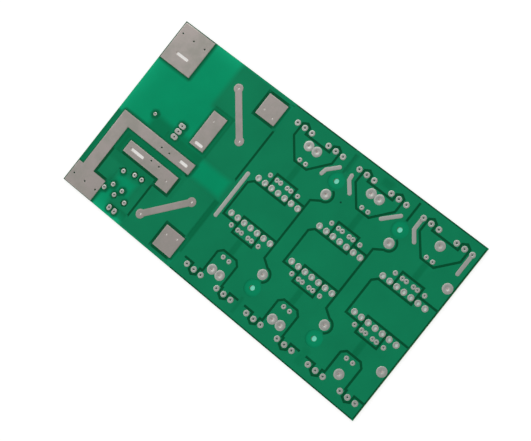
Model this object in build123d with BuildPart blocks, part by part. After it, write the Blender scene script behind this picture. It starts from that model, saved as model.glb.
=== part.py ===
import os

from build123d import *

os.makedirs("parts", exist_ok=True)

# Coated sheet, its etched relief and the tin on its bare copper
board_length = 228.0
board_width = 120.0
board_thickness = 1.6
etch_depth = 0.09  # how far the coat sinks where the copper under it is etched away
tin_thickness = 0.06
edge_setback = 0.8  # from the sawn edge to the channels' copper
pour_setback = 1.4  # to the power section's coated copper
plate_setback = 0.3  # to its corner plates
isolation_gap = 1.4  # etched between neighbouring copper areas

# Sides of the drilled lead holes and of the lands round them: few, because there are so many
drill_sides = 6
land_sides = 6
big_land_sides = 12

# Lands and holes, by the part that is soldered there
transistor_land = 3.2
transistor_drill = 1.4
transformer_land = 3.4
transformer_drill = 1.8
snubber_land = 2.6
snubber_drill = 1.0
pair_land = 2.5
pair_drill = 1.0
winding_land = 6.2
winding_drill = 1.8
link_land = 6.3
link_drill = 1.8
control_land = 2.8
control_drill = 1.1
plate_drill = 1.3
strip_drill = 1.6

# Three alike channels fill the board right of the power section
channel_count = 3
power_length = 87.3
first_channel_margin = 2.4
last_channel_trim = 1.4  # the last channel's right-hand gap falls outside the board
transistor_leads = 3
transistor_lead_pitch = 5.45
transistor_offset = 11.7
transistor_edge = 8.2  # row to the long edge, as are the other edge distances
transformer_leads = 7
transformer_lead_pitch = 5.0
transformer_row_spacing = 25.4
snubber_parts = 3
snubber_part_pitch = 7.86
snubber_lead_pitch = 5.08
snubber_row_spacing = 36.4
winding_lead_pitch = 5.9
winding_edge = 15.0
pair_lead_pitch = 4.4
pair_edge = 24.5
link_offset = 22.85
link_edge = 31.0
link_margin = 0.75
link_drop = 3.4
boundary_edge = 3.2
last_link_inset = 4.0
mounting_hole = 3.2
mounting_edge = 21.4
mounting_keepout = 10.4

# Copper islands of a channel
tab_margin = 0.4
funnel_top_edge = 11.5
funnel_shoulder_edge = 14.9
funnel_foot_edge = 26.0
funnel_foot = 8.4
core_left_margin = 3.1
core_right_margin = 1.9
core_inset = 3.6
core_outset = 2.35
core_chamfer = 2.4
snubber_margin = 1.0
arch_width = 13.7
arch_shift = 0.4
arch_edge = 27.1
arch_chamfer = 2.2
lower_strip_edge = 10.2
lower_strip_length = 39.2

# Tinned bars over the channel copper, and the rail strip beside the first channel
bar_width = 2.4
rail_width = 2.5
rail_inset = 3.8
rail_top = 10.9
rail_length = 30.2

# Power section: plates, buses and strips
supply_plate_length = 24.1
supply_plate_width = 26.4
terminal_pitch = 8.8
terminal_inset = 12.1
terminal_edge = 7.1
supply_slot_length = 9.6
supply_slot_edge = 18.5
slot_width = 1.7
return_plate_length = 22.9
return_plate_width = 14.9
riser_width = 8.5
riser_inset = 8.35
arm_width = 7.1
arm_drop = 7.95
arm_length = 58.1
shunt_length = 39.1
shunt_width = 7.8
shunt_drop = 20.3
shunt_inset = 19.5
shunt_tab_length = 9.5
shunt_tab_depth = 3.6
shunt_slot_length = 10.5
shunt_slot_inset = 8.5
fuse_plate_length = 10.4
fuse_plate_width = 23.8
fuse_plate_inset = 55.3
fuse_plate_lift = 15.9
fuse_slot_length = 6.4
fuse_slot_margin = 2.5
square_plate = 14.2
square_inset = 78.2
square_edge = 11.4
square_moat = 1.8
strip_width = 4.2
strip_land = 5.7
supply_pour_inset = 48.6
upper_pour_lift = 3.0
lower_pour_drop = 13.0
lower_pour_trim = 1.6
pour_notch_margin = 3.3
pour_notch_lift = 2.8
control_pour_inset = 13.6
control_pour_drop = 25.9
control_pour_edge = 7.0
control_leg = 4.5
control_window_margin = 7.2
control_window_width = 13.9
control_notch_length = 9.1
control_clearance = 0.8
sense_land_length = 4.5
sense_land_width = 3.0
sense_pitch = 3.9
header_land_length = 3.6
header_land_width = 2.8
long_land_chamfer = 0.8

# Places in the power section, as shares of its length and of half the board's width
bus_hole_shares = [(0.4376, -0.14), (0.5086, -0.14)]
shunt_hole_shares = [(0.4376, -0.307), (0.5086, -0.307), (0.614, -0.374)]
fuse_hole_shares = [(0.618, 0.375)]
square_hole_shares = [(0.852, 0.772), (0.9353, 0.745), (0.852, -0.772), (0.9353, -0.745)]
strip_shares = [(0.613, 0.779), (0.853, 0.375)]
sense_shares = [(0.4605, 0.0828)]
header_shares = [(0.4032, -0.9267), (0.4513, -0.9267)]
control_shares = [
    (0.244, 0.0783),
    (0.3207, -0.56),
    (0.4055, -0.5217),
    (0.4674, -0.515),
    (0.3207, -0.725),
    (0.4043, -0.725),
    (0.2806, -0.8033),
    (0.3746, -0.80),
    (0.4708, -0.80),
]

# Tinned bars: channel and side, then places as shares of the channel pitch and of half the board's width
bar_shares = {
    (1, "right"): [(0.4187, 0.767), (0.2942, 0.67), (0.2813, 0.618)],
    (2, "left"): [(-0.3973, 0.773), (-0.3887, 0.725), (-0.2792, 0.627)],
    (2, "right"): [(0.3973, 0.752), (0.2255, 0.618)],
    (3, "left"): [(-0.3683, 0.8633), (-0.3758, 0.833), (-0.3736, 0.727), (-0.277, 0.633)],
    (3, "right"): [(0.3683, 0.8633), (0.3683, 0.645)],
}

# Worked out from the sizes above
left_edge = -board_length / 2
half_width = board_width / 2
copper_right = board_length / 2 - edge_setback
copper_top = half_width - edge_setback
channel_run = board_length - power_length - first_channel_margin + last_channel_trim
channel_pitch = channel_run / channel_count
first_channel = left_edge + power_length + first_channel_margin + channel_pitch / 2
channel_xs = [first_channel + channel_pitch * index for index in range(channel_count)]
transistor_y = half_width - transistor_edge
transformer_y = transformer_row_spacing / 2
snubber_y = snubber_row_spacing / 2
winding_y = half_width - winding_edge
pair_y = half_width - pair_edge
link_y = half_width - link_edge
mounting_y = half_width - mounting_edge
tab_radius = transistor_land / 2 + tab_margin
link_ring = link_land / 2 + link_margin + isolation_gap / 2
row_half = transformer_lead_pitch * (transformer_leads - 1) / 2
core_left = row_half + core_left_margin
core_right = row_half + core_right_margin
core_step = transformer_lead_pitch * (transformer_leads - 4) / 2
core_gap = core_right + isolation_gap / 2
board_top = Plane.XY.offset(board_thickness)
etched_top = Plane.XY.offset(board_thickness - etch_depth)


def spread(pitch, count):
    return [pitch * (index - (count - 1) / 2) for index in range(count)]


def both_rows(xs, y):
    return [(x, side * y) for x in xs for side in (-1, 1)]


def power_places(shares):
    return [(left_edge + x * power_length, y * half_width) for x, y in shares]


def grown(area, margin):
    return offset(area, margin, kind=Kind.INTERSECTION, mode=Mode.PRIVATE)


# A few-sided round, with flats to the left and right so that neighbours in a row keep their gap
def round_of(diameter, sides, mode=Mode.ADD):
    RegularPolygon(diameter / 2, sides, major_radius=False, rotation=180 / sides, mode=mode)


# Lead places of one channel: the last has one winding lead where the others have two
def channel_leads(x):
    transistor_xs = [
        x + side * transistor_offset + lead
        for side in (-1, 1)
        for lead in spread(transistor_lead_pitch, transistor_leads)
    ]
    transformer_xs = [x + lead for lead in spread(transformer_lead_pitch, transformer_leads)]
    snubber_xs = [
        x + part + lead
        for part in spread(snubber_part_pitch, snubber_parts)
        for lead in spread(snubber_lead_pitch, 2)
    ]
    pair_xs = [x + lead for lead in spread(pair_lead_pitch, 2)]
    winding_count = 1 if x == channel_xs[-1] else 2
    winding_xs = [x + lead for lead in spread(winding_lead_pitch, winding_count)]
    return {
        "transistor": both_rows(transistor_xs, transistor_y),
        "transformer": both_rows(transformer_xs, transformer_y),
        "snubber": both_rows(snubber_xs, snubber_y),
        "pair": both_rows(pair_xs, pair_y),
        "winding": both_rows(winding_xs, winding_y),
    }


lead_places = [channel_leads(x) for x in channel_xs]
lead_sizes = {
    "transistor": (transistor_land, transistor_drill, land_sides),
    "transformer": (transformer_land, transformer_drill, land_sides),
    "snubber": (snubber_land, snubber_drill, land_sides),
    "pair": (pair_land, pair_drill, land_sides),
    "winding": (winding_land, winding_drill, big_land_sides),
}
boundary_xs = [x + link_offset for x in channel_xs[:-1]]
link_xs = boundary_xs + [board_length / 2 - last_link_inset]
mounting_places = both_rows(boundary_xs, mounting_y)

# Lead places and slots of the power section
terminal_xs = [left_edge + terminal_inset + lead for lead in spread(terminal_pitch, 3)]
plate_hole_shares = bus_hole_shares + shunt_hole_shares + fuse_hole_shares + square_hole_shares
plate_places = both_rows(terminal_xs, half_width - terminal_edge) + power_places(plate_hole_shares)
upper_ends = power_places(strip_shares)
lower_ends = [(x, -y) for x, y in upper_ends]
control_places = power_places(control_shares)
header_places = power_places(header_shares)
sense_x, sense_y = power_places(sense_shares)[0]
sense_places = [(sense_x, sense_y + lead) for lead in spread(sense_pitch, 3)]
shunt_x = left_edge + shunt_inset + shunt_length / 2
shunt_end = shunt_x + shunt_length / 2
fuse_x = left_edge + fuse_plate_inset
square_x = left_edge + square_inset
square_y = half_width - square_edge
slots = [
    (supply_slot_length, (left_edge + terminal_inset, half_width - supply_slot_edge)),
    (shunt_slot_length, (left_edge + shunt_inset + shunt_slot_inset, -shunt_drop)),
    (fuse_slot_length, (fuse_x, fuse_plate_lift - fuse_plate_width / 2 + fuse_slot_margin)),
    (fuse_slot_length, (fuse_x, -arm_drop)),
]

# Every hole through the board
drill_table = [
    (both_rows(link_xs, link_y), link_drill),
    (control_places + header_places + sense_places, control_drill),
    (plate_places, plate_drill),
    (upper_ends + lower_ends, strip_drill),
]
for part, (land, drill, sides) in lead_sizes.items():
    drill_table.append(([place for leads in lead_places for place in leads[part]], drill))

with BuildSketch() as drills:
    for places, drill in drill_table:
        with Locations(*places):
            round_of(drill, drill_sides)
    with Locations(*mounting_places):
        Circle(mounting_hole / 2)
    for slot_length, place in slots:
        with Locations(place):
            SlotOverall(slot_length, slot_width)

# Bare copper of the power section
with BuildSketch() as supply_terminal:
    with Locations((left_edge + plate_setback, half_width - plate_setback)):
        Rectangle(
            supply_plate_length - plate_setback,
            supply_plate_width - plate_setback,
            align=(Align.MIN, Align.MAX),
        )

with BuildSketch() as return_bus:
    with Locations((left_edge + plate_setback, plate_setback - half_width)):
        Rectangle(
            return_plate_length - plate_setback,
            return_plate_width - plate_setback,
            align=(Align.MIN, Align.MIN),
        )
    with Locations((left_edge + riser_inset - riser_width / 2, -arm_drop)):
        Rectangle(arm_length, arm_width, align=(Align.MIN, Align.CENTER))
        Rectangle(riser_width, copper_top - arm_drop, align=(Align.MIN, Align.MAX))

with BuildSketch() as shunt_bar:
    with Locations((shunt_x, -shunt_drop)):
        Rectangle(shunt_length, shunt_width)
    with Locations((shunt_end, -shunt_drop)):
        Rectangle(shunt_tab_length, shunt_width / 2 + shunt_tab_depth, align=(Align.MAX, Align.MAX))

with BuildSketch() as fuse_plate:
    with Locations((fuse_x, fuse_plate_lift)):
        Rectangle(fuse_plate_length, fuse_plate_width)

with BuildSketch() as upper_square_plate:
    with Locations((square_x, square_y)):
        Rectangle(square_plate, square_plate)

with BuildSketch() as lower_square_plate:
    with Locations((square_x, -square_y)):
        Rectangle(square_plate, square_plate)

with BuildSketch() as sense_lands:
    with Locations(*sense_places):
        Rectangle(sense_land_length, sense_land_width)
    chamfer(sense_lands.vertices(), long_land_chamfer)

with BuildSketch() as header_lands:
    with Locations(*header_places):
        Rectangle(header_land_width, header_land_length)
    chamfer(header_lands.vertices(), long_land_chamfer)

# Coated copper of the power section
pour_left = left_edge + supply_pour_inset
pour_right = left_edge + power_length - isolation_gap / 2
notch_right = fuse_x + fuse_plate_length / 2 + pour_notch_margin
notch_top = fuse_plate_lift + fuse_plate_width / 2 + pour_notch_lift
notch_bottom = -shunt_drop - shunt_width / 2 - shunt_tab_depth - square_moat
pour_top = half_width - pour_setback
control_right = pour_left - isolation_gap
control_bottom = control_pour_edge - half_width
window_left = left_edge + return_plate_length + square_moat
window_top = -control_pour_drop - control_window_margin

with BuildSketch() as upper_supply_pour:
    with Locations((pour_left, pour_top)):
        Rectangle(pour_right - pour_left, pour_top - upper_pour_lift, align=(Align.MIN, Align.MAX))
    with Locations((pour_left, upper_pour_lift)):
        Rectangle(
            notch_right - pour_left,
            notch_top - upper_pour_lift,
            align=(Align.MIN, Align.MIN),
            mode=Mode.SUBTRACT,
        )
    add(grown(upper_square_plate.sketch, square_moat), mode=Mode.SUBTRACT)

with BuildSketch() as lower_supply_pour:
    with Locations((pour_left, -pour_top)):
        Rectangle(
            pour_right - lower_pour_trim - pour_left,
            pour_top - lower_pour_drop,
            align=(Align.MIN, Align.MIN),
        )
    with Locations((pour_left, -lower_pour_drop)):
        Rectangle(
            shunt_end + square_moat - pour_left,
            -lower_pour_drop - notch_bottom,
            align=(Align.MIN, Align.MAX),
            mode=Mode.SUBTRACT,
        )
    add(grown(lower_square_plate.sketch, square_moat), mode=Mode.SUBTRACT)

with BuildSketch() as control_pour:
    with Locations((control_right, -control_pour_drop)):
        Rectangle(
            control_right - left_edge - control_pour_inset,
            -control_pour_drop - control_bottom,
            align=(Align.MAX, Align.MAX),
        )
    with Locations((window_left, window_top)):
        Rectangle(
            control_right - control_leg - window_left,
            control_window_width,
            align=(Align.MIN, Align.MAX),
            mode=Mode.SUBTRACT,
        )
        Rectangle(
            control_notch_length,
            window_top - control_bottom,
            align=(Align.MIN, Align.MAX),
            mode=Mode.SUBTRACT,
        )
    add(grown(return_bus.sketch, square_moat), mode=Mode.SUBTRACT)
    with Locations(*control_places):
        round_of(control_land + 2 * control_clearance, land_sides, Mode.SUBTRACT)

# Copper islands of one channel, drawn about its centre
funnel_foot_y = half_width - funnel_foot_edge
funnel_shoulder_y = half_width - funnel_shoulder_edge
funnel_top_y = half_width - funnel_top_edge
funnel_half = transistor_offset + tab_radius
row_inner = transformer_y - core_inset
row_outer = transformer_y + core_outset
snubber_bottom = row_inner + isolation_gap
snubber_top = snubber_y + snubber_land / 2 + snubber_margin
strip_joint = channel_pitch - lower_strip_length
strip_top = half_width - lower_strip_edge
arch_top = half_width - arch_edge
tab_side = 2 * (tab_radius + isolation_gap)

with BuildSketch() as upper_island:
    with BuildLine():
        Polyline(
            (-funnel_foot / 2, funnel_foot_y),
            (funnel_foot / 2, funnel_foot_y),
            (funnel_half, funnel_shoulder_y),
            (funnel_half, funnel_top_y),
            (-funnel_half, funnel_top_y),
            (-funnel_half, funnel_shoulder_y),
            close=True,
        )
    make_face()
    for side in (-1, 1):
        with Locations((side * transistor_offset, transistor_y)):
            round_of(2 * tab_radius, land_sides)
            Rectangle(2 * tab_radius, transistor_y - funnel_top_y, align=(Align.CENTER, Align.MAX))


def core_outline(right):
    step = core_step + isolation_gap / 2
    with BuildSketch() as core:
        with BuildLine():
            Polyline(
                (-core_left, -row_outer),
                (-step, -row_outer),
                (-step, -row_inner),
                (right, -row_inner),
                (right, row_outer),
                (step, row_outer),
                (step, row_inner),
                (core_chamfer - core_left, row_inner),
                (-core_left, row_inner - core_chamfer),
                close=True,
            )
        make_face()
    return core


with BuildSketch() as snubber_islands:
    for side in (Align.MIN, Align.MAX):
        y = snubber_bottom if side == Align.MIN else -snubber_bottom
        with Locations((0, y)):
            Rectangle(
                2 * core_step - isolation_gap,
                snubber_top - snubber_bottom,
                align=(Align.CENTER, side),
            )

with BuildSketch() as lower_island:
    with Locations((arch_shift, -arch_top)):
        Rectangle(arch_width, copper_top - arch_top, align=(Align.CENTER, Align.MAX))
    chamfer(lower_island.vertices().group_by(Axis.Y)[-1], arch_chamfer)
    with Locations((0, -copper_top)):
        Rectangle(lower_strip_length, copper_top - strip_top, align=(Align.CENTER, Align.MIN))
    for side in (-1, 1):
        with Locations((side * transistor_offset, -transistor_y)):
            round_of(tab_side, land_sides, Mode.SUBTRACT)
            Rectangle(
                tab_side,
                transistor_y - strip_top,
                align=(Align.CENTER, Align.MIN),
                mode=Mode.SUBTRACT,
            )

# The gap between two channels runs from one mounting hole to the other and bends round the link lands
with BuildSketch() as boundary_gap:
    bend = link_y - link_ring - link_drop
    with BuildLine() as boundary:
        Line((link_offset, half_width - boundary_edge), (link_offset, link_y + link_ring))
        CenterArc((link_offset, link_y), link_ring, 90, -180)
        Polyline(
            (link_offset, link_y - link_ring),
            (core_gap, bend),
            (core_gap, -bend),
            (link_offset, link_ring - link_y),
        )
        CenterArc((link_offset, -link_y), link_ring, 90, -180)
        Line((link_offset, -link_y - link_ring), (link_offset, -mounting_y))
    for edge in boundary.edges():
        trace(edge, line_width=isolation_gap)
    with Locations(*boundary.vertices()):
        round_of(isolation_gap, land_sides)

zone_left = left_edge + power_length + isolation_gap / 2
joint_xs = [channel_xs[0] - channel_pitch / 2] + [x + channel_pitch / 2 for x in channel_xs]
joint_places = [(x, -copper_top) for x in joint_xs]

with BuildSketch() as channel_zone:
    with Locations((zone_left, 0)):
        Rectangle(copper_right - zone_left, 2 * copper_top, align=(Align.MIN, Align.CENTER))

with BuildSketch() as channel_copper:
    add(channel_zone.sketch)
    for x in channel_xs:
        core_end = copper_right - x if x == channel_xs[-1] else core_right
        islands = (upper_island, core_outline(core_end), snubber_islands, lower_island)
        with Locations((x, 0)):
            add([grown(island.sketch, isolation_gap) for island in islands], mode=Mode.SUBTRACT)
            add([island.sketch for island in islands])
    with Locations(*joint_places):
        Rectangle(strip_joint, copper_top - strip_top, align=(Align.CENTER, Align.MIN))
    with Locations(*[(x, 0) for x in channel_xs[:-1]]):
        add(boundary_gap.sketch, mode=Mode.SUBTRACT)
    with Locations(*mounting_places):
        Circle(mounting_keepout / 2, mode=Mode.SUBTRACT)
    add(channel_zone.sketch, mode=Mode.INTERSECT)


# Tinned lands, strips and bars
def land_outlines(places, diameter, sides):
    with BuildSketch() as lands:
        with Locations(*places):
            round_of(diameter, sides)
    return lands.sketch


def strip_outline(points, width, end_diameter):
    with BuildSketch() as strip:
        with BuildLine() as middle:
            Polyline(*points)
        for edge in middle.edges():
            trace(edge, line_width=width)
        with Locations(*points[1:-1]):
            round_of(width, big_land_sides)
        with Locations(points[0], points[-1]):
            round_of(end_diameter, big_land_sides)
    return strip.sketch


rail_x = left_edge + power_length + rail_inset
rail_ends = [(rail_x, rail_top), (rail_x, rail_top - rail_length)]
tinned_areas = {
    "supply_terminal": supply_terminal.sketch,
    "return_bus": return_bus.sketch,
    "shunt_bar": shunt_bar.sketch,
    "fuse_plate": fuse_plate.sketch,
    "upper_square_plate": upper_square_plate.sketch,
    "lower_square_plate": lower_square_plate.sketch,
    "control_lands": land_outlines(control_places, control_land, land_sides),
    "sense_lands": sense_lands.sketch,
    "header_lands": header_lands.sketch,
}
standing_alone = list(tinned_areas)  # with no coated copper round them
coated_copper = [
    upper_supply_pour.sketch,
    lower_supply_pour.sketch,
    control_pour.sketch,
    channel_copper.sketch,
]
tinned_areas["upper_strip"] = strip_outline(upper_ends, strip_width, strip_land)
tinned_areas["lower_strip"] = strip_outline(lower_ends, strip_width, strip_land)
tinned_areas["rail_strip"] = strip_outline(rail_ends, rail_width, rail_width)

for index, leads in enumerate(lead_places):
    for part, (land, drill, sides) in lead_sizes.items():
        tinned_areas[f"channel_{index + 1}_{part}_lands"] = land_outlines(leads[part], land, sides)
for index, x in enumerate(link_xs):
    tinned_areas[f"link_lands_{index + 1}"] = land_outlines(both_rows([x], link_y), link_land, big_land_sides)

# A bar that starts at a transistor land meets the land's edge
for (channel, side), shares in bar_shares.items():
    x = channel_xs[channel - 1]
    points = [(x + u * channel_pitch, v * half_width) for u, v in shares]
    with BuildSketch() as bar:
        add(strip_outline(points, bar_width, bar_width))
        add(tinned_areas[f"channel_{channel}_transistor_lands"], mode=Mode.SUBTRACT)
    tinned_areas[f"channel_{channel}_{side}_bar"] = bar.sketch

# The board: sheet and coat, raised by the copper that the etching left
with BuildPart() as board:
    with BuildSketch():
        Rectangle(board_length, board_width)
        add(drills.sketch, mode=Mode.SUBTRACT)
    extrude(amount=board_thickness - etch_depth)
    with BuildSketch(etched_top):
        add(coated_copper)
        add(drills.sketch, mode=Mode.SUBTRACT)
    extrude(amount=etch_depth)
board.part.label = "board"
export_step(board.part, "parts/board.step")

drill_holes = drills.faces()


def holes_in(area):
    box = area.bounding_box()
    return [hole for hole in drill_holes if box.is_inside(hole.bounding_box())]


# Each tinned piece seats flat, on the etched sheet if it stands alone and else on the raised copper
for name, area in tinned_areas.items():
    holes = holes_in(area)
    alone = name in standing_alone
    with BuildPart() as tinned:
        with BuildSketch(etched_top if alone else board_top):
            add(area)
            if holes:
                add(holes, mode=Mode.SUBTRACT)
        extrude(amount=etch_depth + tin_thickness if alone else tin_thickness)
    tinned.part.label = name
    export_step(tinned.part, f"parts/{name}.step")
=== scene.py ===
import math

import bmesh
import bpy
from mathutils import Matrix, Vector
from mathutils.bvhtree import BVHTree


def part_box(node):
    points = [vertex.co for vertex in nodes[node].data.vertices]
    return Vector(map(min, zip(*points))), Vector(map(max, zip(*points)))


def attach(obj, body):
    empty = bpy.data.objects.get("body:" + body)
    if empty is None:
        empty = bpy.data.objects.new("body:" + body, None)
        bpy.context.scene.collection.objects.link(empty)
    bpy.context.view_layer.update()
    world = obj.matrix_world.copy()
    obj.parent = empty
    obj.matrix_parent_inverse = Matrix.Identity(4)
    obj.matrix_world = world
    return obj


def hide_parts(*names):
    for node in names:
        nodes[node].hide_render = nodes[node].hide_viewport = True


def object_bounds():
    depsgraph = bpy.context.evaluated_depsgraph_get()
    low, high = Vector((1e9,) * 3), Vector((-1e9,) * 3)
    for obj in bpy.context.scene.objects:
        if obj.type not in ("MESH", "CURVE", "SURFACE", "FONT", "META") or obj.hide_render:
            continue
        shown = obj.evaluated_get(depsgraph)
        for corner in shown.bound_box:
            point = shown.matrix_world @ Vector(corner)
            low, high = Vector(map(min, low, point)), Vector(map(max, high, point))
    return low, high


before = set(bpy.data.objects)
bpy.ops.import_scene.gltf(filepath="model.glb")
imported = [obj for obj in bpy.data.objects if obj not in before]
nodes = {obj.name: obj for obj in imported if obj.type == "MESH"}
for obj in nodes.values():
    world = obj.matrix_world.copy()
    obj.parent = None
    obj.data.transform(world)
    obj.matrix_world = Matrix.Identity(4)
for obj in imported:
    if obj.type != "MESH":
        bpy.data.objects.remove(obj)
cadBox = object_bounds()
mm = 0.001
tiny = 0.002 * mm
boardLow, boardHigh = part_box("board")
boardTop = boardHigh.z
print("frame loaded with", len(nodes), "nodes")


# helpers for node trees
def addNode(tree, kind, **settings):
    node = tree.nodes.new(kind)
    for name, value in settings.items():
        setattr(node, name, value)
    return node


def setInputs(node, **values):
    for name, value in values.items():
        node.inputs[name.replace("_", " ")].default_value = value
    return node


def newMaterial(name):
    material = bpy.data.materials.new(name)
    material.use_nodes = True
    tree = material.node_tree
    return material, tree, tree.nodes["Principled BSDF"]


def newGroup(name, inputs, outputs):
    group = bpy.data.node_groups.new(name, "ShaderNodeTree")
    for label, kind in inputs:
        group.interface.new_socket(label, in_out="INPUT", socket_type=kind)
    for label, kind in outputs:
        group.interface.new_socket(label, in_out="OUTPUT", socket_type=kind)
    return group, group.nodes.new("NodeGroupInput"), group.nodes.new("NodeGroupOutput")


def useGroup(tree, group, **values):
    node = addNode(tree, "ShaderNodeGroup", node_tree=group)
    return setInputs(node, **values)


def mathNode(tree, operation, first, second=None, clamp=False):
    node = addNode(tree, "ShaderNodeMath", operation=operation, use_clamp=clamp)
    for socket, value in zip(node.inputs, (first, second)):
        if isinstance(value, bpy.types.NodeSocket):
            tree.links.new(value, socket)
        elif value is not None:
            socket.default_value = value
    return node.outputs[0]


def mixColour(tree, factor, first, second):
    node = addNode(tree, "ShaderNodeMix", data_type="RGBA")
    sockets = (node.inputs[0], node.inputs[6], node.inputs[7])
    for socket, value in zip(sockets, (factor, first, second)):
        if isinstance(value, bpy.types.NodeSocket):
            tree.links.new(value, socket)
        else:
            socket.default_value = value
    return node.outputs[2]


def smoothRange(tree, value, low, high):
    node = addNode(tree, "ShaderNodeMapRange", interpolation_type="SMOOTHSTEP")
    setInputs(node, From_Min=low, From_Max=high)
    tree.links.new(value, node.inputs["Value"])
    return node.outputs["Result"]


def objectPlace(tree):
    return addNode(tree, "ShaderNodeTexCoord").outputs["Object"]


def axisParts(tree, vector):
    parts = addNode(tree, "ShaderNodeSeparateXYZ")
    tree.links.new(vector, parts.inputs[0])
    return parts.outputs


# shared effect: slow unevenness in tone, and fine unevenness in height
unevenTexture = {
    "roughness": 0.55,
    "patchDetail": 3.0,
    "rippleDetail": 1.0,
}


def buildUnevenness():
    group, start, end = newGroup(
        "unevenness",
        [
            ("Vector", "NodeSocketVector"),
            ("Patch Size", "NodeSocketFloat"),
            ("Ripple Size", "NodeSocketFloat"),
        ],
        [("Patches", "NodeSocketFloat"), ("Ripples", "NodeSocketFloat")],
    )
    for sizeName, outName, detail in (
        ("Patch Size", "Patches", unevenTexture["patchDetail"]),
        ("Ripple Size", "Ripples", unevenTexture["rippleDetail"]),
    ):
        noise = addNode(group, "ShaderNodeTexNoise")
        setInputs(noise, Detail=detail, Roughness=unevenTexture["roughness"])
        scale = mathNode(group, "DIVIDE", 1.0, start.outputs[sizeName])
        group.links.new(start.outputs["Vector"], noise.inputs["Vector"])
        group.links.new(scale, noise.inputs["Scale"])
        group.links.new(noise.outputs["Fac"], end.inputs[outName])
    return group


# shared effect: a soft-edged upright box, for what shows faintly through the sheet
def buildSoftBox():
    group, start, end = newGroup(
        "softBox",
        [
            ("Vector", "NodeSocketVector"),
            ("Centre", "NodeSocketVector"),
            ("Half", "NodeSocketVector"),
            ("Softness", "NodeSocketFloat"),
        ],
        [("Mask", "NodeSocketFloat")],
    )
    away = addNode(group, "ShaderNodeVectorMath", operation="SUBTRACT")
    group.links.new(start.outputs["Vector"], away.inputs[0])
    group.links.new(start.outputs["Centre"], away.inputs[1])
    size = addNode(group, "ShaderNodeVectorMath", operation="ABSOLUTE")
    group.links.new(away.outputs[0], size.inputs[0])
    beyond = addNode(group, "ShaderNodeVectorMath", operation="SUBTRACT")
    group.links.new(size.outputs[0], beyond.inputs[0])
    group.links.new(start.outputs["Half"], beyond.inputs[1])
    parts = axisParts(group, beyond.outputs[0])
    sides = []
    for axis in ("X", "Y"):
        share = mathNode(group, "DIVIDE", parts[axis], start.outputs["Softness"])
        faded = smoothRange(group, share, -0.5, 0.5)
        sides.append(mathNode(group, "SUBTRACT", 1.0, faded))
    group.links.new(mathNode(group, "MULTIPLY", *sides), end.inputs["Mask"])
    return group


unevenness = buildUnevenness()
softBox = buildSoftBox()


def addUnevenness(tree, place, values):
    uneven = useGroup(
        tree,
        unevenness,
        Patch_Size=values["patchSize"],
        Ripple_Size=values["rippleSize"],
    )
    tree.links.new(place, uneven.inputs["Vector"])
    return uneven.outputs


def addRipples(tree, shader, ripples, values):
    bump = addNode(tree, "ShaderNodeBump")
    setInputs(bump, Strength=values["rippleStrength"], Distance=values["rippleHeight"])
    tree.links.new(ripples, bump.inputs["Height"])
    tree.links.new(bump.outputs["Normal"], shader.inputs["Normal"])


# green coat
coat = {
    "overCopper": (0.0046, 0.224, 0.099, 1),
    # bareSheet is painted light glowing through the sheet, rim painted light from the sawn edge,
    # gap painted shade in narrow gaps
    "bareSheet": (0.0, 0.305, 0.137, 1),
    "rim": (0.004, 0.42, 0.20, 1),
    "gap": (0.0004, 0.088, 0.032, 1),
    # painted shade where copper on the far side stops the light through the sheet
    "throughShade": (0.0012, 0.165, 0.066, 1),
    "speckColour": (0.002, 0.05, 0.026, 1),
    "speckPlace": (31.7 * mm, 30.6 * mm),
    "speckRadius": 0.75 * mm,
    "speckCoreShare": 0.4,
    "topShares": (0.3, 0.6),        # of the thickness, over which the underside's tone gives way
    "patchSize": 26 * mm,
    "patchRange": (0.3, 0.7),
    "patchLift": (0.94, 1.06),
    "rippleSize": 1.3 * mm,
    "rippleStrength": 0.1,
    "rippleHeight": 0.02 * mm,
    "roughness": 0.36,
    "specular": 0.08,
}


def channelCentres():
    centres = []
    for name in sorted(nodes):
        if name.endswith("transformer_lands"):
            low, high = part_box(name)
            centres.append((low.x + high.x) / 2 / mm)
    return centres


# painted shade where copper on the far side stops the light through the sheet, as a soft darker
# patch:
# left, right, bottom, top and softness in millimetres, then strength
def throughShadePatches():
    patches = [
        (-101.5, -54.5, -16.6, -11.2, 1.2, 1.0),    # between bus and shunt bar
        (-101.5, -94.2, -26.5, -11.2, 1.2, 1.0),
        (-114.5, -109.6, -46, -6, 2.0, 0.9),        # left of the riser
        (-92, -63, -4.8, 5.5, 5.0, 0.75),           # about the sense lands
        (-80, -50.5, -5, 2.6, 2.4, 0.9),
        (-65, -49.8, 2, 31, 1.2, 0.85),             # round the fuse plate
        (-56, -51, -29, -13, 2.0, 0.3),
        (-81, -66.5, -57.5, -52, 2.0, 0.6),
        (-101, -67, -31.5, -25, 2.4, 0.45),         # control corner
        (-91.5, -82, -47, -40, 4.0, 0.5),
        (-29.2, -25.6, -49, -12.5, 1.6, 1.0),       # beside the lower pour
        (20.9, 23.9, 46, 58, 1.6, 0.55),            # between the channels, top and bottom
        (20.0, 22.2, -57, -46, 1.4, 0.4),
        (67, 72, -56, -45, 3.0, 0.35),
        (43, 50.5, 52.5, 57.5, 3.0, 0.55),
    ]
    for x in channelCentres():
        patches.append((x - 1.9, x + 1.9, 21.8, 32.6, 1.6, 0.6))
        patches.append((x - 1.9, x + 1.9, -31.8, -21.8, 1.6, 0.6))
    return patches


# per vertex: copper below the coat, painted light glowing through the etched sheet with painted
# shade in its narrow gaps, light from its rim, and the fade of that painted glow near copper
toneNames = ("copper", "sheetGlow", "rim", "veil")


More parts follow.
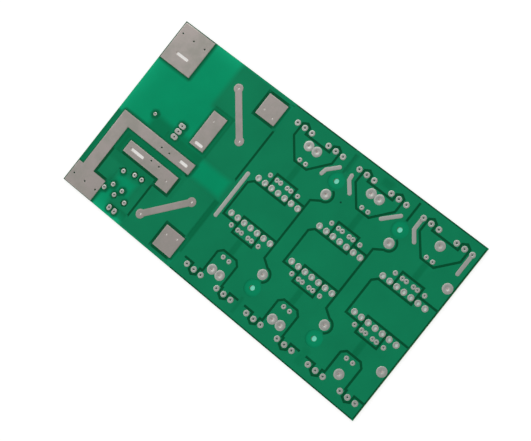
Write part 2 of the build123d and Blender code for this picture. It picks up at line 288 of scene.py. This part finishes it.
def makeCoat():
    material, tree, shader = newMaterial("greenCoat")
    place = objectPlace(tree)
    copper, sheetGlow, rim, veil = (
        addNode(tree, "ShaderNodeAttribute", attribute_name=name).outputs["Fac"]
        for name in toneNames
    )
    uneven = addUnevenness(tree, place, coat)

    # painted light glowing through the bare sheet, painted shade in its narrow gaps, painted light
    # at its rim
    sheetTone = mixColour(tree, sheetGlow, coat["gap"], coat["bareSheet"])
    sheetTone = mixColour(tree, rim, sheetTone, coat["rim"])
    sheetTone = mixColour(tree, veil, sheetTone, coat["overCopper"])
    tone = mixColour(tree, copper, sheetTone, coat["overCopper"])

    # painted shade where far-side copper stops the light through the sheet
    through = None
    for left, right, bottom, top, softness, strength in throughShadePatches():
        patch = useGroup(
            tree,
            softBox,
            Centre=((left + right) / 2 * mm, (bottom + top) / 2 * mm, 0),
            Half=((right - left) / 2 * mm, (top - bottom) / 2 * mm, 1),
            Softness=softness * mm,
        )
        tree.links.new(place, patch.inputs["Vector"])
        mask = mathNode(tree, "MULTIPLY", patch.outputs["Mask"], strength)
        through = mask if through is None else mathNode(tree, "MAXIMUM", through, mask)
    shown = mathNode(tree, "MULTIPLY", through, mathNode(tree, "MAXIMUM", copper, sheetGlow))
    height = axisParts(tree, place)["Z"]
    onTop = smoothRange(tree, height, *(boardTop * share for share in coat["topShares"]))
    throughShadeTone = mixColour(tree, onTop, coat["overCopper"], coat["throughShade"])
    tone = mixColour(tree, shown, tone, throughShadeTone)

    away = addNode(tree, "ShaderNodeVectorMath", operation="DISTANCE")
    tree.links.new(place, away.inputs[0])
    away.inputs[1].default_value = (*coat["speckPlace"], boardTop)
    speckCore = coat["speckRadius"] * coat["speckCoreShare"]
    clear = smoothRange(tree, away.outputs["Value"], speckCore, coat["speckRadius"])
    tone = mixColour(tree, clear, coat["speckColour"], tone)

    bright = addNode(tree, "ShaderNodeHueSaturation")
    setInputs(bright, Hue=0.5, Saturation=1.0, Fac=1.0)
    lift = addNode(tree, "ShaderNodeMapRange")
    low, high = coat["patchRange"]
    dimmest, brightest = coat["patchLift"]
    setInputs(lift, From_Min=low, From_Max=high, To_Min=dimmest, To_Max=brightest)
    tree.links.new(uneven["Patches"], lift.inputs["Value"])
    tree.links.new(lift.outputs["Result"], bright.inputs["Value"])
    tree.links.new(tone, bright.inputs["Color"])
    tree.links.new(bright.outputs["Color"], shader.inputs["Base Color"])

    addRipples(tree, shader, uneven["Ripples"], coat)
    setInputs(shader, Roughness=coat["roughness"], Specular_IOR_Level=coat["specular"])
    return material


# sawn edge and drilled walls of the sheet
laminate = {
    "resin": (0.12, 0.22, 0.08, 1),
    "glass": (0.24, 0.31, 0.15, 1),
    "layerThickness": 0.2 * mm,
    "layerContrast": 0.3,
    "patchSize": 3 * mm,
    "rippleSize": 0.3 * mm,
    "rippleStrength": 0.4,
    "rippleHeight": 0.03 * mm,
    "roughness": 0.7,
    "specular": 0.3,
}


def makeLaminate():
    material, tree, shader = newMaterial("glassEpoxy")
    place = objectPlace(tree)
    uneven = addUnevenness(tree, place, laminate)
    height = axisParts(tree, place)["Z"]
    turn = mathNode(tree, "MULTIPLY", height, math.tau / laminate["layerThickness"])
    layer = mathNode(tree, "SINE", turn)
    share = mathNode(tree, "MULTIPLY_ADD", layer, laminate["layerContrast"])
    tree.links.new(uneven["Patches"], share.node.inputs[2])
    tone = mixColour(tree, share, laminate["resin"], laminate["glass"])
    tree.links.new(tone, shader.inputs["Base Color"])
    addRipples(tree, shader, uneven["Ripples"], laminate)
    setInputs(shader, Roughness=laminate["roughness"], Specular_IOR_Level=laminate["specular"])
    return material


# hot levelled tin
tin = {
    # dull and bright, on the wide plates
    "plate": ((0.44, 0.42, 0.38, 1), (0.615, 0.55, 0.52, 1)),
    # a lighter, greener copy of the same tin on lands and bars, as painted light
    "land": ((0.53, 0.55, 0.51, 1), (0.69, 0.70, 0.655, 1)),
    "patchSize": 13 * mm,
    "patchRange": (0.3, 0.7),
    "rippleSize": 1.6 * mm,
    "rippleStrength": 0.12,
    "rippleHeight": 0.03 * mm,
    "smooth": 0.40,
    "rough": 0.50,
}


def makeTin(kind):
    material, tree, shader = newMaterial(kind + "Tin")
    uneven = addUnevenness(tree, objectPlace(tree), tin)
    patches = smoothRange(tree, uneven["Patches"], *tin["patchRange"])
    tree.links.new(mixColour(tree, patches, *tin[kind]), shader.inputs["Base Color"])
    rough = addNode(tree, "ShaderNodeMapRange")
    setInputs(rough, To_Min=tin["rough"], To_Max=tin["smooth"])
    tree.links.new(patches, rough.inputs["Value"])
    tree.links.new(rough.outputs["Result"], shader.inputs["Roughness"])
    addRipples(tree, shader, uneven["Ripples"], tin)
    setInputs(shader, Metallic=1.0)
    return material


coatMaterial = makeCoat()
laminateMaterial = makeLaminate()
plateTin = makeTin("plate")
litLandTin = makeTin("land")
print("materials made")


# mesh helpers
levelRise = 0.5     # least rise in the normal of a level face


def isWall(face):
    return abs(face.normal.z) < levelRise


def facesUp(face):
    return face.normal.z > levelRise


def mergedCopy(name):
    shape = bmesh.new()
    shape.from_mesh(nodes[name].data)
    bmesh.ops.remove_doubles(shape, verts=shape.verts, dist=tiny / 2)
    return shape


def linkedGroups(verts, edges):
    neighbours = {vert: [] for vert in verts}
    for edge in edges:
        first, second = edge.verts
        neighbours[first].append(second)
        neighbours[second].append(first)
    waiting, groups = set(verts), []
    for start in verts:
        if start not in waiting:
            continue
        waiting.remove(start)
        group, front = [], [start]
        while front:
            vert = front.pop()
            group.append(vert)
            for other in neighbours[vert]:
                if other in waiting:
                    waiting.remove(other)
                    front.append(other)
        groups.append(group)
    return groups


def extentOf(verts):
    xs = [vert.co.x for vert in verts]
    ys = [vert.co.y for vert in verts]
    centre = Vector(((min(xs) + max(xs)) / 2, (min(ys) + max(ys)) / 2))
    return centre, Vector((max(xs) - min(xs), max(ys) - min(ys)))


def settle(shape, name, slotName, materials, *replaced):
    mesh = bpy.data.meshes.new(name)
    shape.to_mesh(mesh)
    shape.free()
    for material in materials:
        mesh.materials.append(material)
    piece = bpy.data.objects.new(name, mesh)
    bpy.context.scene.collection.objects.link(piece)
    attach(piece, "root")
    if replaced:
        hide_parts(*replaced)
    return piece


def smoothed(piece, degrees):
    piece.data.shade_smooth()
    piece.data.set_sharp_from_angle(angle=math.radians(degrees))


# board: the CAD sheet with a finer etched level, its tones and its plated slots
board = {
    "gridStep": 1.0 * mm,
    "underRise": 0.04 * mm,             # lets the far-side lands stand proud within the thickness
    "narrow": (0.8 * mm, 1.3 * mm),     # half width of a gap, from painted shade to painted glow through the sheet
    "reach": (0.7 * mm, 1.3 * mm),      # how far round a spot the gap's width is felt
    "reachSteps": 12,
    "plateShade": (0.7 * mm, 2.4 * mm),       # painted shade beside bare plates, as their shadow
    "plateShadeStrength": 0.8,
    "plateShadeShift": 0.4 * mm,
    "edgeGlow": (0.3 * mm, 1.6 * mm),   # light that enters at the sawn edge
    "glowStrength": 0.8,
    "glowClear": (1.2 * mm, 3.0 * mm),  # not beside coated copper, where the edge is a dark line
    "rimReach": 4.5 * mm,
    "veil": (0, 4.5 * mm),              # over which the painted glow of open sheet fades into the coated-copper tone
    "keepOut": (3.4 * mm, 5.2 * mm),    # where the rings round the mounting holes darken with painted shade,
    "keepOutShadeSide": (-0.8, -0.6),        # most to the lower left
    "keepOutShadeStrength": 0.6,
    "keepOutVeil": 0.35,
    "keepOutVeilShare": 0.3,
    "softGapX": (20.0 * mm, 25.0 * mm), # the painted shade in the gap at the top, between channels 1 and 2, is faint
    "softGapY": 44.0 * mm,
    "softGapVeil": 0.6,
    "leadSides": 6,
    "slotStretch": 1 * mm,              # a hole that is longer than wide by this is a slot
}
aloneNodes = [
    name for name in nodes
    if name != "board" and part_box(name)[0].z < boardTop - tiny
]


def onOutline(vert):
    return (
        min(abs(vert.co.x - boardLow.x), abs(vert.co.x - boardHigh.x)) < tiny
        or min(abs(vert.co.y - boardLow.y), abs(vert.co.y - boardHigh.y)) < tiny
    )


# rims of the holes at the underside, each as its centre, size and vertices
def holeRims(shape):
    rims = [
        edge
        for edge in shape.edges
        if all(vert.co.z < tiny and not onOutline(vert) for vert in edge.verts)
        and any(isWall(face) for face in edge.link_faces)
    ]
    verts = list(dict.fromkeys(vert for edge in rims for vert in edge.verts))
    return [(*extentOf(group), group) for group in linkedGroups(verts, rims)]


# flat copies of the copper, to measure how far a spot on the bare sheet is from it
def flatTree(sources):
    points, faces = [], []
    for source, lowest in sources:
        for face in source.faces:
            if facesUp(face) and face.verts[0].co.z > lowest:
                faces.append(list(range(len(points), len(points) + len(face.verts))))
                points.extend((vert.co.x, vert.co.y, 0) for vert in face.verts)
    return BVHTree.FromPolygons(points, faces)


def smoothStep(value, low, high):
    share = min(1, max(0, (value - low) / (high - low)))
    return share * share * (3 - 2 * share)


# painted light glows through a spot where its gap is wide, save beside bare plates, and at the sawn
# edge where the sheet ends
def sheetTones(x, y, allCopper, barePlates, coatedCopper, bareHoles):
    def gapTo(tree, spotX, spotY):
        return tree.find_nearest((spotX, spotY, 0))[3]

    widest = gapTo(allCopper, x, y)
    for radius in board["reach"]:
        for step in range(board["reachSteps"]):
            turn = math.tau * step / board["reachSteps"]
            spotX, spotY = x + radius * math.cos(turn), y + radius * math.sin(turn)
            if abs(spotX) < boardHigh.x and abs(spotY) < boardHigh.y:
                widest = max(widest, gapTo(allCopper, spotX, spotY))
    # painted shade beside bare plates, measured from a spot shifted along x, as a shadow
    plateShade = 1 - smoothStep(gapTo(barePlates, x - board["plateShadeShift"], y), *board["plateShade"])
    toEdge = min(boardHigh.x - abs(x), boardHigh.y - abs(y))
    wide = smoothStep(widest, *board["narrow"])
    toCoated = gapTo(coatedCopper, x, y)
    glow = 1 - smoothStep(toEdge, *board["edgeGlow"])
    glow *= board["glowStrength"] * smoothStep(toCoated, *board["glowClear"])
    sheetGlow = max(wide * (1 - board["plateShadeStrength"] * plateShade), glow * (1 - plateShade))
    rim = wide * (1 - plateShade) * math.exp(-toEdge / board["rimReach"])
    veil = wide * (1 - plateShade) * (1 - smoothStep(toCoated, *board["veil"]))
    away = min((Vector((x, y)) - hole for hole in bareHoles), key=lambda gap: gap.length)
    # painted shade on the ring round a mounting hole, darkest to the lower left
    if away.length < board["keepOut"][1] + tiny:
        side = 0.5 + 0.5 * away.normalized().dot(Vector(board["keepOutShadeSide"]))
        outward = smoothStep(away.length, *board["keepOut"])
        sheetGlow *= 1 - board["keepOutShadeStrength"] * side * outward
        veil = max(veil * board["keepOutVeilShare"], board["keepOutVeil"])
    left, right = board["softGapX"]
    if left < x < right and y > board["softGapY"]:
        veil = max(veil, board["softGapVeil"])
    return sheetGlow, rim, veil


def cutGrid(shape, faces, step):
    items = (item for face in faces for item in (face, *face.edges, *face.verts))
    geom = list(dict.fromkeys(items))
    for axis in (Vector((1, 0, 0)), Vector((0, 1, 0))):
        low, high = boardLow.dot(axis), boardHigh.dot(axis)
        count = round((high - low) / step)
        for index in range(1, count):
            spot = axis * (low + (high - low) * index / count)
            cut = bmesh.ops.bisect_plane(
                shape,
                geom=geom,
                dist=tiny / 10,
                plane_co=spot,
                plane_no=axis,
            )
            geom = cut["geom"]


def isSlot(size):
    return abs(size.x - size.y) > board["slotStretch"]


def buildBoard():
    shape = mergedCopy("board")
    shape.normal_update()
    holes = holeRims(shape)
    bare = [
        centre
        for centre, size, rim in holes
        if len(rim) > board["leadSides"] and not isSlot(size)
    ]
    slots = [(centre, size) for centre, size, rim in holes if isSlot(size)]
    slotVerts = {vert for centre, size, rim in holes if isSlot(size) for vert in rim}
    slotWalls = {face for vert in slotVerts for face in vert.link_faces if isWall(face)}
    alone = [(mergedCopy(name), boardTop) for name in aloneNodes]
    for source, lowest in alone:
        source.normal_update()
    barePlates = flatTree(alone)
    coatedCopper = flatTree([(shape, boardTop - tiny)])
    allCopper = flatTree(alone + [(shape, boardTop - tiny)])
    for source, lowest in alone:
        source.free()
    outerWalls = {
        face
        for face in shape.faces
        if isWall(face) and min(vert.co.z for vert in face.verts) < tiny
    }
    for face in shape.faces:
        face.material_index = 2 if face in slotWalls else 1 if face in outerWalls else 0

    etched = [
        face
        for face in shape.faces
        if facesUp(face) and face.verts[0].co.z < boardTop - tiny
    ]
    cutGrid(shape, etched, board["gridStep"])

    copper, sheetGlow, rim, veil = (shape.verts.layers.float.new(name) for name in toneNames)
    for vert in shape.verts:
        if vert.co.z > boardTop - tiny:
            vert[copper] = 1
        elif vert.co.z < tiny:
            vert[sheetGlow] = 1
            vert.co.z = board["underRise"]
        else:
            x, y = vert.co.xy
            tones = sheetTones(x, y, allCopper, barePlates, coatedCopper, bare)
            vert[sheetGlow], vert[rim], vert[veil] = tones
    places = [
        (centre.freeze(), size.x / 2)
        for centre, size, verts in holes
        if len(verts) == board["leadSides"]
    ]
    print("board:", len(shape.faces), "faces,", len(places), "lead holes,", len(bare), "bare holes")
    materials = [coatMaterial, laminateMaterial, plateTin]
    settle(shape, "board_skin", "coated_laminate", materials, "board")
    return places, bare, slots


leadHoles, mountingHoles, platedSlots = buildBoard()

# plated lead holes: a tinned land, the barrel in the hole and the land on the far side,
# turned as one eyelet
eyelet = {
    "segments": {"small": 12, "large": 28},
    "largeRadius": 2.5 * mm,
    "wall": {"small": 0.06 * mm, "large": 0.22 * mm},   # tin inside the drilled hole
    "shoulder": 0.24 * mm,      # over which the tin falls away at the land's edge
    "mouth": 0.10 * mm,         # rounding into the hole
    "underShare": 0.9,          # far-side land to near-side land
    # share of the land that the coat leaves open, where not all of it
    "tinShare": {"control_lands": 0.86},
    "loneShare": 0.66,          # the same at the one control land above the bus
    "collarWidth": 0.22 * mm,   # ring of tin round a hole in a plate or strip
    "collarUnder": 0.8 * mm,
    "sharpAngle": 50,           # degrees
}


def spinEyelet(shape, centre, bore, land, underLand, base, top):
    kind = "large" if land > eyelet["largeRadius"] else "small"
    inner = bore - eyelet["wall"][kind]
    under = board["underRise"]
    profile = [
        (inner, 0),
        (underLand - eyelet["shoulder"], 0),
        (underLand, under),
        (bore, under),
        (bore, base),
        (land, base),
        (land - eyelet["shoulder"], top),
        (inner + eyelet["mouth"], top),
        (inner, top - eyelet["mouth"] / 2),
    ]
    ring = [shape.verts.new((centre.x + radius, centre.y, z)) for radius, z in profile]
    edges = [shape.edges.new(pair) for pair in zip(ring, ring[1:] + ring[:1])]
    bmesh.ops.spin(
        shape,
        geom=ring + edges,
        cent=(centre.x, centre.y, 0),
        axis=(0, 0, 1),
        angle=math.tau,
        steps=eyelet["segments"][kind],
        use_merge=True,
    )


def tinTop(name):
    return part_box(name)[1].z


# each group of lands that touch, as its extent and the lead holes in it
def landGroups(name):
    shape = mergedCopy(name)
    extents = [extentOf(group) for group in linkedGroups(list(shape.verts), shape.edges)]
    shape.free()
    for centre, size in extents:
        inside = [
            (place, bore)
            for place, bore in leadHoles
            if abs(place.x - centre.x) < size.x / 2 and abs(place.y - centre.y) < size.y / 2
        ]
        yield centre, size, inside


# a land that runs into its neighbour is cut where the two meet
def addLand(shape, centre, place, bore, radius, base, top, shared):
    single = bmesh.new()
    spinEyelet(single, place, bore, radius, radius * eyelet["underShare"], base, top)
    if shared:
        bmesh.ops.bisect_plane(
            single,
            geom=single.verts[:] + single.edges[:] + single.faces[:],
            dist=tiny / 10,
            plane_co=(centre.x, centre.y, 0),
            plane_no=(place.x - centre.x, 0, 0),
            clear_inner=True,
        )
    mesh = bpy.data.meshes.new("land")
    single.to_mesh(mesh)
    single.free()
    shape.from_mesh(mesh)
    bpy.data.meshes.remove(mesh)


roundLandNodes = [
    name for name in sorted(nodes)
    if "_lands" in name and name not in ("sense_lands", "header_lands")
]
usedHoles = set()


def buildRoundLands(name):
    shape = bmesh.new()
    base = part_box(name)[0].z
    for centre, size, inside in landGroups(name):
        for place, bore in inside:
            usedHoles.add(place)
            share = eyelet["tinShare"].get(name, 1)
            if name == "control_lands" and place.y > 0:
                share = eyelet["loneShare"]
            radius = size.y / 2 * share
            addLand(shape, centre, place, bore, radius, base, tinTop(name), len(inside) > 1)
    bmesh.ops.remove_doubles(shape, verts=shape.verts, dist=tiny)
    bmesh.ops.recalc_face_normals(shape, faces=shape.faces)
    piece = settle(shape, name + "_tin", "tinned_copper", [litLandTin], name)
    smoothed(piece, eyelet["sharpAngle"])


for name in roundLandNodes:
    buildRoundLands(name)
print("round lands:", len(usedHoles), "on", len(roundLandNodes), "nodes")

# plates, bars, strips and long lands: flat tin whose edges are drawn down to the coat
plate = {
    "edgeWidth": {"alone": 0.15 * mm, "onCopper": 0.45 * mm},
    "edgeDropShare": {"alone": 0.3, "onCopper": 0.7},       # of the node's own thickness
    "hold": 0.25 * mm,      # flat ring inside the edge, so that the rest of the top shades flat
    "sawnReach": 0.5 * mm,  # plates this near the sawn left and top edges
    "sawnMargin": 0.3 * mm, # stay a little further off them, so that a dark line shows
    "sharpAngle": 35,       # degrees
}


def tinnedWith(name):
    onLand = name.endswith(("_bar", "_lands", "rail_strip")) and name != "shunt_bar"
    # lands and bars take the lighter copy of the tin, painted light on them
    return litLandTin if onLand else plateTin


def buildTinned(name):
    shape = mergedCopy(name)
    shape.normal_update()
    low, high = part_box(name)
    kind = "alone" if name in aloneNodes else "onCopper"
    crown = [face for face in shape.faces if facesUp(face)]
    for thickness in (plate["edgeWidth"][kind], plate["hold"]):
        bmesh.ops.inset_region(
            shape,
            faces=crown,
            thickness=thickness,
            use_even_offset=True,
            use_boundary=True,
        )
    drop = (high.z - low.z) * plate["edgeDropShare"][kind]
    for vert in shape.verts:
        if vert.co.z > high.z - tiny and any(isWall(face) for face in vert.link_faces):
            vert.co.z -= drop
    nearEdge = plate["sawnReach"] + plate["edgeWidth"][kind] + plate["hold"]
    for vert in shape.verts:
        if vert.co.x < boardLow.x + nearEdge:
            vert.co.x += plate["sawnMargin"]
        if vert.co.y > boardHigh.y - nearEdge:
            vert.co.y -= plate["sawnMargin"]
    piece = settle(shape, name + "_tin", "tinned_copper", [tinnedWith(name)], name)
    smoothed(piece, plate["sharpAngle"])


flatNodes = [name for name in sorted(nodes) if name != "board" and name not in roundLandNodes]
for name in flatNodes:
    buildTinned(name)
print("flat tinned pieces:", len(flatNodes))


# collars and barrels of the holes through plates, strips and long lands
def buildCollars():
    shape = bmesh.new()
    top = cadBox[1].z
    for place, bore in leadHoles:
        if place in usedHoles:
            continue
        spinEyelet(
            shape,
            place,
            bore,
            bore + eyelet["collarWidth"],
            bore + eyelet["collarUnder"],
            top - board["underRise"],
            top,
        )
    bmesh.ops.recalc_face_normals(shape, faces=shape.faces)
    piece = settle(shape, "plated_collars", "tinned_copper", [plateTin])
    smoothed(piece, eyelet["sharpAngle"])


buildCollars()
print("collars made")

# floor, light and camera
studio = {
    "floorSize": 6.0,
    "floorDrop": 0.05 * mm,
    "floorColour": (0.36, 0.36, 0.36, 1),
    "floorLift": (0.76, 0.76, 0.76, 1),     # what the camera sees besides the light on the floor
    # painted shade and painted light on the floor below the board, in place of the lift, seen
    # through its holes
    "underShade": (0.015, 0.06, 0.04, 1),    # through small holes
    "underDim": (0.35, 0.28, 0.27, 1),      # through the large holes of links and windings
    "underRow": (0.33, 0.42, 0.38, 1),      # through the transformer rows
    "underPale": (0.60, 0.59, 0.57, 1),     # through slots, squares, fuse plate and strips
    "underPaleNodes": (
        "upper_square_plate",
        "lower_square_plate",
        "fuse_plate",
        "upper_strip",
        "lower_strip",
    ),
    "underGreen": (0.08, 0.50, 0.36, 1),    # painted light through the bare mounting holes, green as if tinted by the sheet
    "underRows": (                          # distance from the middle line, and what shows there
        (0, "underRow"),
        (15.5 * mm, "underShade"),
        (24 * mm, "underDim"),
        (32 * mm, "underShade"),
        (41 * mm, "underDim"),
        (48.5 * mm, "underShade"),
    ),
    "underChange": (-32 * mm, -26 * mm),    # from the power end to the channels
    "underReach": 1.5 * mm,
    "underInset": 1 * mm,                   # from the board's outline
    "underSoftness": 1 * mm,
    "skyLow": 1.0,
    "skyHigh": 0.22,                        # dim overhead, so that the coat shows its own colour
    "skyFade": (0.66, 0.90),
    "keyPower": 9.5,
    "keySize": 1.4,
    "keyPlace": (-1.3, 1.1, 1.3),
}


def buildFloor():
    shape = bmesh.new()
    bmesh.ops.create_grid(shape, x_segments=1, y_segments=1, size=studio["floorSize"])
    bmesh.ops.translate(shape, verts=shape.verts, vec=(0, 0, -studio["floorDrop"]))
    mesh = bpy.data.meshes.new("floor")
    shape.to_mesh(mesh)
    shape.free()
    floor = bpy.data.objects.new("floor", mesh)
    bpy.context.scene.collection.objects.link(floor)

    material = bpy.data.materials.new("paleFloor")
    material.use_nodes = True
    tree = material.node_tree
    tree.nodes.remove(tree.nodes["Principled BSDF"])
    place = objectPlace(tree)
    below = (boardHigh.x - studio["underInset"], boardHigh.y - studio["underInset"], 1)
    covered = useGroup(tree, softBox, Half=below, Softness=studio["underSoftness"])
    tree.links.new(place, covered.inputs["Vector"])
    parts = axisParts(tree, place)
    rows = addNode(tree, "ShaderNodeValToRGB")
    rows.color_ramp.interpolation = "CONSTANT"
    steps = rows.color_ramp.elements
    steps.remove(steps[1])
    for index, (distance, colour) in enumerate(studio["underRows"]):
        step = steps.new(distance / boardHigh.y) if index else steps[0]
        step.color = studio[colour]
    fromMiddle = mathNode(tree, "ABSOLUTE", parts["Y"])
    tree.links.new(mathNode(tree, "DIVIDE", fromMiddle, boardHigh.y), rows.inputs["Fac"])
    inChannels = smoothRange(tree, parts["X"], *studio["underChange"])
    # painted shade and painted light on the floor below the board, seen through its holes
    under = mixColour(tree, inChannels, studio["underShade"], rows.outputs["Color"])
    reach = studio["underReach"]
    patches = [(hole, Vector((0, 0)), studio["underGreen"]) for hole in mountingHoles]
    patches += [(centre, size, studio["underPale"]) for centre, size in platedSlots]
    for name in studio["underPaleNodes"]:
        low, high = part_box(name)
        patches.append((((low + high) / 2).xy, (high - low).xy, studio["underPale"]))
    for centre, size, colour in patches:
        half = (size.x / 2 + reach, size.y / 2 + reach, 1)
        patch = useGroup(tree, softBox, Centre=(*centre, 0), Half=half, Softness=reach / 2)
        tree.links.new(place, patch.inputs["Vector"])
        under = mixColour(tree, patch.outputs["Mask"], under, colour)
    diffuse = setInputs(addNode(tree, "ShaderNodeBsdfDiffuse"), Color=studio["floorColour"])
    glow = addNode(tree, "ShaderNodeEmission")
    behind = addNode(tree, "ShaderNodeNewGeometry").outputs["Backfacing"]
    shaded = mathNode(tree, "SUBTRACT", covered.outputs["Mask"], behind, clamp=True)
    lift = mixColour(tree, shaded, studio["floorLift"], under)
    tree.links.new(lift, glow.inputs["Color"])
    path = addNode(tree, "ShaderNodeLightPath").outputs
    seen = mathNode(tree, "MAXIMUM", path["Is Camera Ray"], path["Is Glossy Ray"])
    seen = mathNode(tree, "MAXIMUM", seen, path["Is Transmission Ray"])
    tree.links.new(seen, glow.inputs["Strength"])
    both = addNode(tree, "ShaderNodeAddShader")
    tree.links.new(diffuse.outputs[0], both.inputs[0])
    tree.links.new(glow.outputs[0], both.inputs[1])
    tree.links.new(both.outputs[0], tree.nodes["Material Output"].inputs["Surface"])
    mesh.materials.append(material)


def buildLight():
    world = bpy.data.worlds.new("studio")
    world.use_nodes = True
    bpy.context.scene.world = world
    tree = world.node_tree
    height = axisParts(tree, addNode(tree, "ShaderNodeTexCoord").outputs["Generated"])["Z"]
    sky = addNode(tree, "ShaderNodeMapRange", interpolation_type="SMOOTHSTEP")
    low, high = studio["skyFade"]
    setInputs(sky, From_Min=low, From_Max=high)
    setInputs(sky, To_Min=studio["skyLow"], To_Max=studio["skyHigh"])
    tree.links.new(height, sky.inputs["Value"])
    tree.links.new(sky.outputs["Result"], tree.nodes["Background"].inputs["Strength"])
    tree.nodes["Background"].inputs["Color"].default_value = (1, 1, 1, 1)

    lamp = bpy.data.lights.new("key", "AREA")
    lamp.energy = studio["keyPower"]
    lamp.size = studio["keySize"]
    key = bpy.data.objects.new("key", lamp)
    bpy.context.scene.collection.objects.link(key)
    key.location = studio["keyPlace"]
    key.rotation_euler = (-Vector(studio["keyPlace"])).to_track_quat("-Z", "Y").to_euler()


camera = {
    "place": (0.2487, 0.0113, 0.7312),
    "right": (0.7407, 0.6185, -0.2622),
    "up": (-0.5913, 0.7855, 0.1826),
    "back": (0.3189, 0.0198, 0.9476),
    "lens": 91.215,
    "sensor": 36.0,
    "near": 0.01,
}


def buildCamera():
    lens = bpy.data.cameras.new("camera")
    lens.lens = camera["lens"]
    lens.sensor_width = camera["sensor"]
    lens.clip_start = camera["near"]
    view = bpy.data.objects.new("camera", lens)
    bpy.context.scene.collection.objects.link(view)
    turn = Matrix((camera["right"], camera["up"], camera["back"])).transposed()
    view.matrix_world = Matrix.Translation(camera["place"]) @ turn.to_4x4()
    bpy.context.scene.camera = view


buildFloor()
buildLight()
buildCamera()
bpy.context.scene.view_settings.view_transform = "Standard"
print("studio set")
